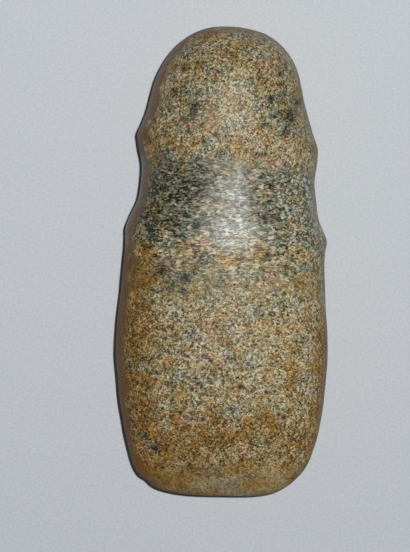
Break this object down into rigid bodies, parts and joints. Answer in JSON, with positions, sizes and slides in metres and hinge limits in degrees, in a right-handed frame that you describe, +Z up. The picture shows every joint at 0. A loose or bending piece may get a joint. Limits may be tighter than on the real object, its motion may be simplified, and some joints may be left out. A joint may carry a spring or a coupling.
{
  "type": "polished stone axe",
  "caption": "Full-grooved stone axe head with a domed poll, a hafting groove between two low ridges, a swelling blade and a blunt, rounded bit.",
  "frame": {"origin": "on the ground under the middle of the head's box, with the head lying on one broad face", "axes": "+Y from the bit to the poll, +Z up out of the upper broad face, +X to the right-hand narrow edge seen from above"},
  "size_m": [0.09, 0.2, 0.0566],
  "materials": {
    "speckled_stone": "ground smooth, polished in the groove and on the poll"
  },
  "bodies": {
    "root": {"axe_head": "speckled_stone"}
  },
  "joints": []
}
